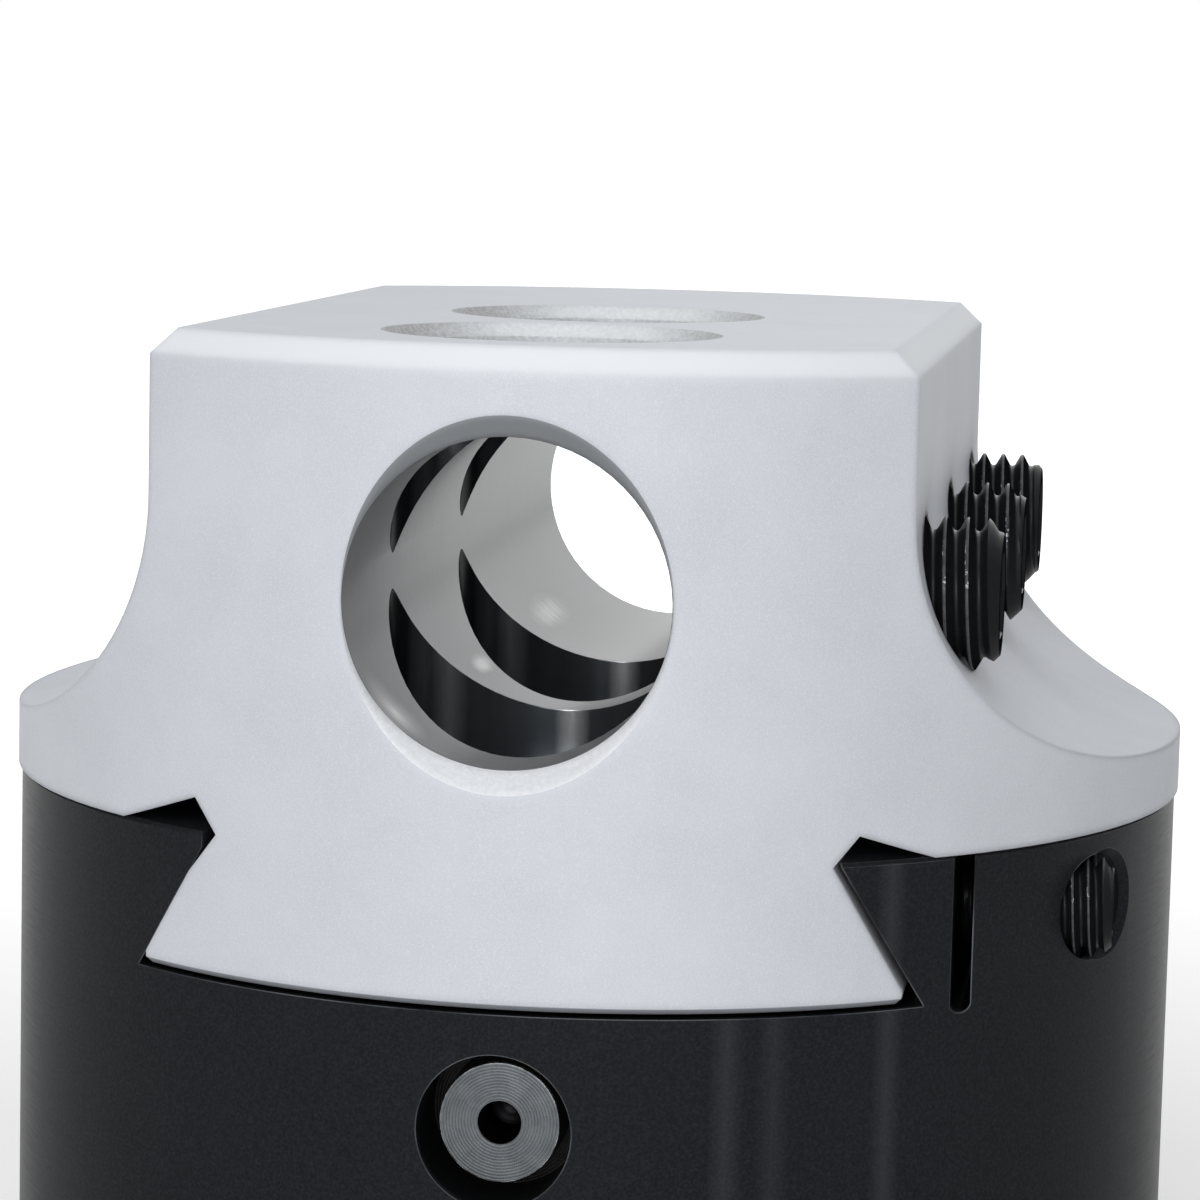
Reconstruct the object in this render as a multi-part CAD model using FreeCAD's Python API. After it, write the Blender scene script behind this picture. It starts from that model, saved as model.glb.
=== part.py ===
import FreeCAD, Part
import math
import os

# Boring head for 25 mm bars, in millimetres.
# +Z runs up the spindle axis, +X points out of the bar screws and -Y is the face with the lead screw's tail.
# The origin is the centre of the body's foot.

# Body
body_dia = 100.0
body_height = 54.0
foot_chamfer = 2.0
rim_chamfer = 0.3

# Arbor socket in the foot, for a 1 1/2-18 arbor thread
arbor_thread_dia = 38.1
arbor_socket_depth = 20.0
arbor_socket_lead = 1.2

# Blind hole for the pin spanner that holds the body while the arbor is screwed in
spanner_hole_dia = 10.0
spanner_hole_depth = 12.0
spanner_hole_height = 12.0

# Dovetail, with its widths taken where the flanks meet the ways: the fixed flank is -X, the gib flank +X
dovetail_angle = 60.0
neck_half_width = 24.1
fixed_neck_inset = 0.3
gib_neck_widening = 0.65
gib_neck_drop = 0.3
tongue_depth = 11.3
tongue_corner_flat = 1.0
tongue_end_chamfer = 0.5
undercut_foot_half_width = 32.2
undercut_apex_half_width = 25.9
undercut_apex_shift = 0.75
fixed_undercut_height = 2.7
gib_undercut_height = 2.1
neck_relief_width = 0.6
neck_relief_height = 3.2
lip_flat_height = 1.2

# Running gaps of the dovetail: the gib wall leans in at the top when its screws are nipped up
way_gap = 0.03
flank_gap = 0.04
floor_gap = 0.4
gib_gap_top = 0.45
gib_gap_bottom = 0.8

# Gib slit, sawn beside the slot so that the wall left between them can flex
gib_hinge_width = 1.9
gib_slit_width = 1.5
gib_slit_depth = 12.5

# Tool slide
flange_overhang = 0.3
flange_thickness = 5.0
slide_height = 39.0
block_half_width = 30.0
flare_run_out = 0.7
top_chamfer = 2.0

# Bar bores down from the top, and the cross bore
bar_bore_dia = 25.0
bar_bore_floor_wall = 2.0
bar_bore_lead = 1.1
bar_bore_offset = 30.0
cross_bore_dia = 25.25
cross_bore_height = 19.5
cross_bore_mouth_dia = 28.6
cross_bore_clear_of_bar_bore = 0.5

# Bar screws, M12, with how far each one stands out of the slide's side
bar_screw_dia = 12.0
bar_screw_length = 20.0
bar_screw_socket = 6.0
bar_screw_stand_out = {"front_bar_screw": 6.2, "middle_bar_screw": 6.5, "rear_bar_screw": 6.6}

# Gib screws, M8
gib_screw_dia = 8.0
gib_screw_length = 12.0
gib_screw_socket = 4.0
gib_screw_offset = 23.6
gib_screw_drop = 6.1
gib_screw_tip_gap = 0.05
gib_hole_mouth_dia = 8.6
gib_hole_mouth_depth = 4.0
gib_hole_sink_angle = 60.0

# Threads of every size are drawn at their outside diameter, with this gap between screw and hole
screw_hole_gap = 0.05
set_screw_chamfer_share = 0.09

# Lead screw, M12 x 1 left hand, with its axis across the body
lead_axis_drop = 20.8
lead_thread_dia = 12.0
lead_tail_dia = 9.5
lead_tail_recess = 3.2
lead_centre_hole_dia = 3.3
lead_centre_hole_depth = 6.0
lead_collar_dia = 14.8
lead_collar_width = 3.0
lead_hub_dia = 10.0
lead_socket = 5.0
shaft_gap = 0.04
end_gap = 0.05

# Feed nut: a post in the slide's underside
feed_nut_dia = 20.0
feed_nut_offset = 7.0
feed_nut_seat_depth = 8.0
feed_nut_floor_wall = 3.2
feed_nut_fit_gap = 0.02
feed_nut_screw_dia = 5.0
feed_nut_screw_length = 12.0
feed_nut_screw_head_dia = 8.5
feed_nut_screw_head_height = 2.8
feed_nut_screw_head_gap = 0.3
feed_nut_screw_socket = 3.0
slide_travel = 25.0
travel_margin = 0.5
pocket_gap = 0.3
pocket_floor_gap = 0.6

# Bearings of the lead screw
tail_bush_recess = 4.8
tail_hole_dia = 12.0
rear_shoulder_depth = 20.0
rear_bush_dia = 14.4
rear_bush_stand_out = 1.5
bush_setback = 1.2
thrust_washer_dia = 15.6
thrust_washer_width = 1.0
bearing_bore_dia = 16.1
bearing_nut_dia = 16.0
bearing_nut_width = 5.0
bearing_nut_slot_width = 1.6
bearing_nut_slot_depth = 1.5

# Dial on the lead screw's hub
dial_dia = 16.0
dial_width = 8.2
dial_bevel = 1.4
dial_bore_dia = 16.6
dial_gap = 0.3
dial_fit_gap = 0.01
dial_key_dia = 3.0
dial_key_length = 5.0
dial_key_socket = 1.5
o_ring_section = 1.1
o_ring_gap = 0.05
o_ring_setback = 4.0

# Places that follow from the sizes
way_z = body_height
body_radius = body_dia / 2
flange_radius = body_radius + flange_overhang
flare_radius = flange_radius + flare_run_out - block_half_width
slide_z = way_z + way_gap
slide_top_z = slide_z + slide_height
tongue_z = slide_z - tongue_depth
slot_z = tongue_z - floor_gap
cross_bore_z = slide_z + cross_bore_height
bar_bore_floor_z = slide_z + bar_bore_floor_wall
bar_bore_depth = slide_top_z - bar_bore_floor_z
lead_z = way_z - lead_axis_drop
gib_screw_z = way_z - gib_screw_drop
flank_run = 1 / math.tan(math.radians(dovetail_angle))
flank_side_gap = flank_gap / math.sin(math.radians(dovetail_angle))
fixed_neck_half_width = neck_half_width - fixed_neck_inset
gib_neck_half_width = neck_half_width + gib_neck_widening

gib_corner_x = neck_half_width + (slide_z - slot_z) * flank_run + gib_gap_bottom
gib_slit_x = gib_corner_x + gib_hinge_width
gib_screw_tip_x = gib_slit_x + gib_screw_tip_gap

pocket_radius = feed_nut_dia / 2 + pocket_gap
pocket_front_y = feed_nut_offset - slide_travel - travel_margin - pocket_radius
pocket_rear_y = feed_nut_offset + travel_margin + pocket_radius
nut_foot_z = lead_z - lead_thread_dia / 2 - feed_nut_floor_wall
pocket_floor_z = nut_foot_z - pocket_floor_gap
nut_seat_z = tongue_z + feed_nut_seat_depth
feed_nut_screw_seat_z = bar_bore_floor_z - feed_nut_screw_head_height - feed_nut_screw_head_gap

tail_end_y = -body_radius + lead_tail_recess
tail_bush_y = tail_end_y + tail_bush_recess
rear_shoulder_y = body_radius - rear_shoulder_depth
rear_bush_y = pocket_rear_y + bush_setback
rear_bush_end_y = rear_shoulder_y + rear_bush_stand_out
collar_y = rear_bush_end_y + end_gap
washer_y = collar_y + lead_collar_width + end_gap
bearing_nut_y = washer_y + thrust_washer_width + end_gap
dial_y = bearing_nut_y + bearing_nut_width + dial_gap
dial_face_y = dial_y + dial_width
o_ring_dia = dial_bore_dia - 2 * o_ring_gap
o_ring_y = dial_face_y - o_ring_setback - o_ring_section / 2

UP = FreeCAD.Vector(0, 0, 1)
RIGHT = FreeCAD.Vector(1, 0, 0)
REARWARD = FreeCAD.Vector(0, 1, 0)


def rod(dia, x, y, z, length, direction):
    """A cylinder that starts at (x, y, z) and runs along the direction."""
    return Part.makeCylinder(dia / 2, length, FreeCAD.Vector(x, y, z), direction)


def cone(start_dia, end_dia, x, y, z, length, direction):
    """A cone frustum that starts at (x, y, z) and runs along the direction."""
    return Part.makeCone(start_dia / 2, end_dia / 2, length, FreeCAD.Vector(x, y, z), direction)


def prism_along_y(corners, length):
    """An outline of (x, z) corners in the XZ plane, drawn out along Y on both sides of the spindle axis."""
    points = [FreeCAD.Vector(x, -length / 2, z) for x, z in corners]
    outline = Part.makePolygon(points + points[:1])
    return Part.Face(outline).extrude(FreeCAD.Vector(0, length, 0))


def edges_at_height(shape, z):
    """The edges of a shape that lie flat at one height."""
    return [
        edge for edge in shape.Edges
        if abs(edge.BoundBox.ZMin - z) < 1e-4 and abs(edge.BoundBox.ZMax - z) < 1e-4
    ]


def edges_facing_y(shape, y):
    """The edges of a shape that lie in one plane across Y."""
    return [
        edge for edge in shape.Edges
        if abs(edge.BoundBox.YMin - y) < 1e-4 and abs(edge.BoundBox.YMax - y) < 1e-4
    ]


def hex_socket(width, depth, x, y, z, direction):
    """The hole of a hexagon socket, from its mouth at (x, y, z) down into the screw."""
    corner_radius = width / math.sqrt(3)
    across = REARWARD if abs(direction.z) > 0.5 else UP
    other = direction.cross(across)
    mouth = FreeCAD.Vector(x, y, z)
    corners = []
    for step in range(6):
        angle = math.radians(60 * step)
        spoke = across * math.cos(angle) + other * math.sin(angle)
        corners.append(mouth + spoke * corner_radius)
    outline = Part.makePolygon(corners + corners[:1])
    return Part.Face(outline).extrude(direction * -depth)


def set_screw(dia, length, socket, tip_x, y, z):
    """A flat-point socket set screw along +X, with its tip at tip_x."""
    chamfer = dia * set_screw_chamfer_share
    shank_length = length - chamfer
    shank = rod(dia, tip_x, y, z, shank_length, RIGHT)
    chamfered_end = cone(dia, dia - 2 * chamfer, tip_x + shank_length, y, z, chamfer, RIGHT)
    drive = hex_socket(socket, socket, tip_x + length, y, z, RIGHT)
    return shank.fuse(chamfered_end).cut(drive)


def dovetail_slot():
    """The slot in the body: the fixed flank on the left, the gib wall's flank on the right."""
    depth = slide_z - slot_z
    fixed_lip_x = fixed_neck_half_width + flank_side_gap + lip_flat_height * flank_run
    fixed_corner_x = fixed_neck_half_width + flank_side_gap + depth * flank_run
    above_z = way_z + 1
    corners = [
        (-fixed_lip_x, above_z),
        (-fixed_lip_x, way_z - lip_flat_height),
        (-fixed_corner_x, slot_z),
        (gib_corner_x, slot_z),
        (gib_neck_half_width + gib_gap_top, way_z),
        (gib_neck_half_width + gib_gap_top, above_z),
    ]
    return prism_along_y(corners, body_dia + 2)


def gib_slit():
    """The saw cut beside the gib wall, with a round bottom."""
    round_z = way_z - gib_slit_depth + gib_slit_width / 2
    middle_x = gib_slit_x + gib_slit_width / 2
    corners = [
        (gib_slit_x, way_z + 1),
        (gib_slit_x, round_z),
        (gib_slit_x + gib_slit_width, round_z),
        (gib_slit_x + gib_slit_width, way_z + 1),
    ]
    cut = prism_along_y(corners, body_dia + 2)
    return cut.fuse(rod(gib_slit_width, middle_x, -body_radius - 1, round_z, body_dia + 2, REARWARD))


def gib_screw_hole(y):
    """The threaded hole of one gib screw, opened and sunk where it breaks out of the slanted flank."""
    axis_mouth_x = math.sqrt(body_radius ** 2 - y ** 2)
    start_x = gib_slit_x + gib_slit_width / 2
    hole = rod(gib_screw_dia + 2 * screw_hole_gap, start_x, y, gib_screw_z, body_radius, RIGHT)
    opened = rod(gib_hole_mouth_dia, axis_mouth_x - gib_hole_mouth_depth, y, gib_screw_z, body_radius, RIGHT)
    sink_length = body_radius - axis_mouth_x + 1
    sink_dia = gib_hole_mouth_dia + 2 * sink_length * math.tan(math.radians(gib_hole_sink_angle / 2))
    sink = cone(gib_hole_mouth_dia, sink_dia, axis_mouth_x, y, gib_screw_z, sink_length, RIGHT)
    return hole.fuse(opened).fuse(sink)


def nut_pocket():
    """The long pocket under the slot in which the feed nut travels."""
    height = slot_z + 1 - pocket_floor_z
    front_centre_y = pocket_front_y + pocket_radius
    rear_centre_y = pocket_rear_y - pocket_radius
    corner = FreeCAD.Vector(-pocket_radius, front_centre_y, pocket_floor_z)
    pocket = Part.makeBox(2 * pocket_radius, rear_centre_y - front_centre_y, height, corner)
    for centre_y in (front_centre_y, rear_centre_y):
        pocket = pocket.fuse(rod(2 * pocket_radius, 0, centre_y, pocket_floor_z, height, UP))
    return pocket


def lead_screw_bores():
    """The stepped bore for the lead screw: tail hole, bush bore, bearing bore and dial counterbore."""
    tail_hole = rod(tail_hole_dia, 0, -body_radius - 1, lead_z, body_radius + 1, REARWARD)
    bush_bore = rod(rear_bush_dia, 0, 0, lead_z, rear_shoulder_y, REARWARD)
    bearing_bore = rod(bearing_bore_dia, 0, rear_shoulder_y, lead_z, body_radius, REARWARD)
    dial_bore = rod(dial_bore_dia, 0, dial_y - dial_gap / 2, lead_z, body_radius, REARWARD)
    return tail_hole.fuse(bush_bore).fuse(bearing_bore).fuse(dial_bore)


def arbor_socket():
    """The threaded socket in the foot, with a chamfered mouth."""
    socket_dia = arbor_thread_dia + 2 * screw_hole_gap
    socket = rod(socket_dia, 0, 0, -1, arbor_socket_depth + 1, UP)
    mouth_dia = socket_dia + 2 * arbor_socket_lead
    return socket.fuse(cone(mouth_dia, socket_dia, 0, 0, 0, arbor_socket_lead, UP))


def make_body():
    body = rod(body_dia, 0, 0, 0, body_height, UP)
    body = body.makeChamfer(foot_chamfer, edges_at_height(body, 0))
    body = body.makeChamfer(rim_chamfer, edges_at_height(body, way_z))
    spanner_hole_length = spanner_hole_depth + 1
    spanner_hole = rod(spanner_hole_dia, -body_radius - 1, 0, spanner_hole_height, spanner_hole_length, RIGHT)
    cuts = [dovetail_slot(), gib_slit(), nut_pocket(), lead_screw_bores(), arbor_socket(), spanner_hole]
    cuts += [gib_screw_hole(-gib_screw_offset), gib_screw_hole(gib_screw_offset)]
    return body.cut(cuts)


def slide_outline():
    """The slide's section across the dovetail: block, flares, flange, undercuts and tongue."""
    flare_x = block_half_width + flare_radius
    flare_z = slide_z + flange_thickness + flare_radius
    flank_width = (tongue_depth - tongue_corner_flat) * flank_run
    fixed_foot_x = fixed_neck_half_width + flank_width
    gib_foot_x = neck_half_width + flank_width
    relief_x = fixed_neck_half_width + neck_relief_height * flank_run
    quarter = math.sqrt(0.5) * flare_radius

    def point(x, z):
        return FreeCAD.Vector(x, 0, z)

    def lines(points):
        return [Part.makeLine(a, b) for a, b in zip(points, points[1:])]

    def side(sign, apex_height, neck_points, flank_foot_x):
        top = point(sign * block_half_width, slide_top_z)
        flare_start = point(sign * block_half_width, flare_z)
        flare_middle = point(sign * (flare_x - quarter), flare_z - quarter)
        flare_end = point(sign * flare_x, flare_z - flare_radius)
        below = [
            flare_end,
            point(sign * flare_x, slide_z),
            point(sign * undercut_foot_half_width, slide_z),
            point(sign * undercut_apex_half_width + undercut_apex_shift, slide_z + apex_height),
            *[point(sign * x, z) for x, z in neck_points],
            point(sign * flank_foot_x, tongue_z + tongue_corner_flat),
            point(sign * flank_foot_x, tongue_z),
        ]
        flare = Part.Arc(flare_start, flare_middle, flare_end).toShape()
        return [Part.makeLine(top, flare_start), flare] + lines(below)

    gib_neck = [(gib_neck_half_width, slide_z - gib_neck_drop)]
    fixed_neck = [(fixed_neck_half_width - neck_relief_width, slide_z), (relief_x, slide_z - neck_relief_height)]
    top_edge = lines([point(-block_half_width, slide_top_z), point(block_half_width, slide_top_z)])
    foot_edge = lines([point(-fixed_foot_x, tongue_z), point(gib_foot_x, tongue_z)])
    gib_side = side(1, gib_undercut_height, gib_neck, gib_foot_x)
    fixed_side = side(-1, fixed_undercut_height, fixed_neck, fixed_foot_x)
    edges = top_edge + gib_side + foot_edge + fixed_side
    return Part.Face(Part.Wire(Part.__sortEdges__(edges)))


def bar_bore(y):
    """One bore for a boring bar, down from the top of the slide, with a chamfered mouth."""
    bore = rod(bar_bore_dia, 0, y, bar_bore_floor_z, bar_bore_depth + 1, UP)
    mouth_dia = bar_bore_dia + 2 * bar_bore_lead
    lead = cone(bar_bore_dia, mouth_dia, 0, y, slide_top_z - bar_bore_lead, bar_bore_lead, UP)
    return bore.fuse(lead)


def cross_bore():
    """The bore through the slide along Y, sunk at both mouths. The wall is parted where bar bores cross."""
    end_y = flange_radius + 1
    crossed_half = bar_bore_dia / 2 + cross_bore_clear_of_bar_bore
    parting_places = [-end_y, -bar_bore_offset - crossed_half, crossed_half, end_y]
    stretches = [
        rod(cross_bore_dia, 0, start_y, cross_bore_z, stop_y - start_y, REARWARD)
        for start_y, stop_y in zip(parting_places, parting_places[1:])
    ]
    bore = stretches[0].fuse(stretches[1:])
    sink_depth = (cross_bore_mouth_dia - cross_bore_dia) / 2
    outer_dia = cross_bore_mouth_dia + 2 * sink_depth
    rear_y = flange_radius - sink_depth
    rear_sink = cone(cross_bore_dia, outer_dia, 0, rear_y, cross_bore_z, 2 * sink_depth, REARWARD)
    front_sink = cone(cross_bore_dia, outer_dia, 0, -rear_y, cross_bore_z, 2 * sink_depth, -REARWARD)
    return bore.fuse(rear_sink).fuse(front_sink)


def bar_screw_places():
    """Each bar screw's name and its place along the slide: one per bar bore, and one for the cross bore."""
    return list(zip(bar_screw_stand_out, (-bar_bore_offset, 0, bar_bore_offset)))


def feed_nut_seat():
    """The blind seat of the feed nut in the tongue, and its screw's hole down from the bar bore."""
    seat_dia = feed_nut_dia + 2 * feed_nut_fit_gap
    hole_dia = feed_nut_screw_dia + 2 * feed_nut_screw_head_gap
    head_dia = feed_nut_screw_head_dia + 2 * feed_nut_screw_head_gap
    seat = rod(seat_dia, 0, feed_nut_offset, tongue_z - 1, feed_nut_seat_depth + 1, UP)
    hole = rod(hole_dia, 0, feed_nut_offset, tongue_z, bar_bore_floor_z - tongue_z, UP)
    head_seat = rod(head_dia, 0, feed_nut_offset, feed_nut_screw_seat_z, slide_height, UP)
    head_seat = head_seat.common(rod(bar_bore_dia, 0, 0, feed_nut_screw_seat_z, slide_height, UP))
    return seat.fuse(hole).fuse(head_seat)


def make_tool_slide():
    height = slide_top_z - tongue_z
    round_bar = rod(2 * flange_radius, 0, 0, tongue_z, height, UP)
    profile = slide_outline().extrude(FreeCAD.Vector(0, 2 * flange_radius + 2, 0))
    profile.translate(FreeCAD.Vector(0, -flange_radius - 1, 0))
    slide = round_bar.common(profile)
    slide = slide.makeChamfer(top_chamfer, edges_at_height(slide, slide_top_z))
    slide = slide.makeChamfer(tongue_end_chamfer, edges_at_height(slide, tongue_z))
    cuts = [cross_bore(), bar_bore(-bar_bore_offset), bar_bore(0), feed_nut_seat()]
    for _, y in bar_screw_places():
        cuts.append(rod(bar_screw_dia + 2 * screw_hole_gap, 0, y, cross_bore_z, flange_radius, RIGHT))
    return slide.cut(cuts)


def make_bar_screws():
    screws = {}
    for name, y in bar_screw_places():
        tip_x = block_half_width + bar_screw_stand_out[name] - bar_screw_length
        screws[name] = set_screw(bar_screw_dia, bar_screw_length, bar_screw_socket, tip_x, y, cross_bore_z)
    return screws


def make_gib_screws():
    places = {"front_gib_screw": -gib_screw_offset, "rear_gib_screw": gib_screw_offset}
    return {
        name: set_screw(gib_screw_dia, gib_screw_length, gib_screw_socket, gib_screw_tip_x, y, gib_screw_z)
        for name, y in places.items()
    }


def make_lead_screw():
    thread_start_y = pocket_front_y + end_gap
    hub_y = dial_y - dial_gap / 2
    tail = rod(lead_tail_dia, 0, tail_end_y, lead_z, thread_start_y - tail_end_y, REARWARD)
    shaft = rod(lead_thread_dia, 0, thread_start_y, lead_z, hub_y - thread_start_y, REARWARD)
    collar = rod(lead_collar_dia, 0, collar_y, lead_z, lead_collar_width, REARWARD)
    hub = rod(lead_hub_dia, 0, hub_y, lead_z, dial_face_y - hub_y, REARWARD)
    centre_hole = rod(lead_centre_hole_dia, 0, tail_end_y, lead_z, lead_centre_hole_depth, REARWARD)
    drive = hex_socket(lead_socket, lead_socket, 0, dial_face_y, lead_z, REARWARD)
    screw = tail.fuse([shaft, collar, hub]).removeSplitter()
    return screw.cut([centre_hole, drive, dial_key_hole()])


def make_feed_nut():
    top_z = nut_seat_z - end_gap
    post = rod(feed_nut_dia, 0, feed_nut_offset, nut_foot_z, top_z - nut_foot_z, UP)
    thread = rod(lead_thread_dia + 2 * shaft_gap, 0, pocket_front_y, lead_z, body_dia, REARWARD)
    hole_foot_z = feed_nut_screw_seat_z - feed_nut_screw_length - feed_nut_screw_head_gap
    screw_hole_dia = feed_nut_screw_dia + 2 * screw_hole_gap
    screw_hole = rod(screw_hole_dia, 0, feed_nut_offset, hole_foot_z, body_height, UP)
    return post.cut([thread, screw_hole])


def make_feed_nut_screw():
    seat_z = feed_nut_screw_seat_z
    tip_z = seat_z - feed_nut_screw_length
    head_top_z = seat_z + feed_nut_screw_head_height
    head = rod(feed_nut_screw_head_dia, 0, feed_nut_offset, seat_z, feed_nut_screw_head_height, UP)
    shank = rod(feed_nut_screw_dia, 0, feed_nut_offset, tip_z, feed_nut_screw_length, UP)
    drive_depth = feed_nut_screw_socket / 2
    drive = hex_socket(feed_nut_screw_socket, drive_depth, 0, feed_nut_offset, head_top_z, UP)
    return head.fuse(shank).cut(drive)


def ring(outer_dia, inner_dia, y, width):
    """A plain ring on the lead screw's axis."""
    hole = rod(inner_dia, 0, y - 1, lead_z, width + 2, REARWARD)
    return rod(outer_dia, 0, y, lead_z, width, REARWARD).cut(hole)


def make_tail_bush():
    length = pocket_front_y - bush_setback - tail_bush_y
    return ring(tail_hole_dia, lead_tail_dia + 2 * shaft_gap, tail_bush_y, length)


def make_rear_bush():
    length = rear_bush_end_y - rear_bush_y
    return ring(rear_bush_dia, lead_thread_dia + 2 * shaft_gap, rear_bush_y, length)


def make_thrust_washer():
    return ring(thrust_washer_dia, lead_thread_dia + 4 * shaft_gap, washer_y, thrust_washer_width)


def make_bearing_nut():
    nut = ring(bearing_nut_dia, lead_thread_dia + 4 * shaft_gap, bearing_nut_y, bearing_nut_width)
    slot_floor_y = bearing_nut_y + bearing_nut_width - bearing_nut_slot_depth
    slot_corner = FreeCAD.Vector(-bearing_nut_dia, slot_floor_y, lead_z - bearing_nut_slot_width / 2)
    slot_length = 2 * bearing_nut_dia
    slot = Part.makeBox(slot_length, bearing_nut_slot_depth + 1, bearing_nut_slot_width, slot_corner)
    return nut.cut(slot)


def dial_key_hole():
    """The hole of the dial's key screw, half in the hub and half in the dial."""
    key_z = lead_z + lead_hub_dia / 2
    start_y = dial_face_y - dial_key_length - dial_gap
    return rod(dial_key_dia + 2 * dial_fit_gap, 0, start_y, key_z, body_radius, REARWARD)


def make_dial():
    dial = rod(dial_dia, 0, dial_y, lead_z, dial_width, REARWARD)
    dial = dial.makeChamfer(dial_bevel, edges_facing_y(dial, dial_face_y))
    bore = rod(lead_hub_dia + 2 * dial_fit_gap, 0, dial_y - 1, lead_z, dial_width + 2, REARWARD)
    groove_y = o_ring_y - o_ring_gap
    groove = ring(dial_dia + 2, o_ring_dia - 2 * o_ring_section, groove_y, o_ring_section + 2 * o_ring_gap)
    return dial.cut([bore, groove, dial_key_hole()])


def make_dial_key_screw():
    key_z = lead_z + lead_hub_dia / 2
    mouth_y = dial_face_y - dial_gap
    screw = rod(dial_key_dia, 0, mouth_y - dial_key_length, key_z, dial_key_length, REARWARD)
    drive = hex_socket(dial_key_socket, dial_key_socket, 0, mouth_y, key_z, REARWARD)
    return screw.cut(drive)


def make_dial_o_ring():
    """The O-ring in the dial's groove, drawn with a square section."""
    return ring(o_ring_dia, o_ring_dia - 2 * o_ring_section, o_ring_y, o_ring_section)


def make_parts():
    parts = {
        "body": make_body(),
        "tool_slide": make_tool_slide(),
        "lead_screw": make_lead_screw(),
        "feed_nut": make_feed_nut(),
        "feed_nut_screw": make_feed_nut_screw(),
        "tail_bush": make_tail_bush(),
        "rear_bush": make_rear_bush(),
        "thrust_washer": make_thrust_washer(),
        "bearing_nut": make_bearing_nut(),
        "dial": make_dial(),
        "dial_key_screw": make_dial_key_screw(),
        "dial_o_ring": make_dial_o_ring(),
    }
    parts.update(make_bar_screws())
    parts.update(make_gib_screws())
    return parts


os.makedirs("parts", exist_ok=True)
for name, shape in make_parts().items():
    shape.exportStep(f"parts/{name}.step")
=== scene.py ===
import bmesh
import bpy
import math
from mathutils import Matrix, Vector


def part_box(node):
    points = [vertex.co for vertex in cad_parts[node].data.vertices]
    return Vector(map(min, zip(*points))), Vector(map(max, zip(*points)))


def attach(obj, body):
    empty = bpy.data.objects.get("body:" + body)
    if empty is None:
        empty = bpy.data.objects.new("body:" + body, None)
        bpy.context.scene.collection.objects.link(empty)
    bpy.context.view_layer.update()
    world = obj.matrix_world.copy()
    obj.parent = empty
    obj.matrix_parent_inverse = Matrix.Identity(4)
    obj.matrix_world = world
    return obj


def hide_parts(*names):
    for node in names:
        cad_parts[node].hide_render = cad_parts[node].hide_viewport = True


# Looks of a boring head, in metres, in the CAD's frame: +Z up the spindle axis, -Y towards the camera.

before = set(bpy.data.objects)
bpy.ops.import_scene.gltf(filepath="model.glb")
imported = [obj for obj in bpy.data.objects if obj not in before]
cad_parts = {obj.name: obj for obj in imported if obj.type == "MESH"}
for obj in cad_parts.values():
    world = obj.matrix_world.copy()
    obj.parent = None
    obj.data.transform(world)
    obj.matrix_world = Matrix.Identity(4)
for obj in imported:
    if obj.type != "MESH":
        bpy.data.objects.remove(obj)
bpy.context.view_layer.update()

MM = 0.001

# Threads: pitch, and how deep the ridges are in pitches
BAR_SCREW_PITCH = 1.75 * MM
GIB_SCREW_PITCH = 1.25 * MM
LEAD_SCREW_PITCH = 1.0 * MM
ARBOR_PITCH = 25.4 / 18 * MM
THREAD_DEPTH = 0.6134
SCREW_SEGMENTS = 96
LEAD_SCREW_SEGMENTS = 72
SOCKET_SEGMENTS = 144

# One pitch of a 60 degree thread from crest to crest: place in pitches, depth in thread depths
THREAD_FORM = (
    (0.00, 0.00),
    (0.06, 0.03),
    (0.11, 0.14),
    (0.36, 0.88),
    (0.42, 0.97),
    (0.50, 1.00),
    (0.58, 0.97),
    (0.64, 0.88),
    (0.89, 0.14),
    (0.94, 0.03),
)

# Set screws: how far past a crest each one starts, as the photograph shows it, and the width of its socket
BAR_SCREW_STARTS = {
    "front_bar_screw": -0.96 * MM,
    "middle_bar_screw": -0.5 * MM,
    "rear_bar_screw": -0.2 * MM,
}
GIB_SCREW_START = 0.475 * MM
BAR_SCREW_SOCKET = 6 * MM
GIB_SCREW_SOCKET = 4 * MM

# Their ends: how far the face's rim lies inside the crests in thread depths, and a ring within the face
SCREW_END_FALL = 1.15
SCREW_FLAT_SHARE = 0.62

# Hexagon sockets, in widths across the flats: the lead at the mouth, and the drilled point at the bottom
SOCKET_LEAD = 0.04
SOCKET_POINT_DEPTH = 1.2
SOCKET_POINT_RADIUS = 0.1

# Points above this share of the thread's depth are marked as crests
CREST_SHARE = 0.9

# Mesh cleaning: points closer than the first are joined, and edges shorter than the second go
JOIN_DISTANCE = 1e-7
SMALLEST_EDGE = 1e-8

# Camera, fitted to the photograph: place, angles in radians, and focal length in sensor widths
CAMERA_PLACE = (0.051038, -0.342356, 0.111130)
CAMERA_YAW = 0.15994
CAMERA_PITCH = 0.11412
CAMERA_ROLL = -0.02201
CAMERA_FOCAL_SHARE = 3.3306
CAMERA_SHIFT = (0.0375, -0.0333)
CAMERA_CLIP = (0.01, 50)
SENSOR_WIDTH = 36.0

# Light on the object from the surround
WORLD_LIGHT_LEFT = 0.42
WORLD_LIGHT_RIGHT = 0.12

# Lamps that look at one point: name, place, side and power
LAMP_AIM = (0, 0, 0.06)
LAMPS = (
    ("top", (0.0, -0.15, 1.1), 0.7, 2.5),
    ("front", (0.03, -1.1, 0.4), 0.6, 6.7),
    ("rear", (0.1, 1.1, 0.35), 0.6, 0.8),
)

# Floor: its size, and the distances from the middle between which it brightens to the background's white
FLOOR_HALF_SIZE = 6.0
FLOOR_GLOW_REACH = (0.1, 0.45)
FLOOR_GLOW_NEAR = 0.35

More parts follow.
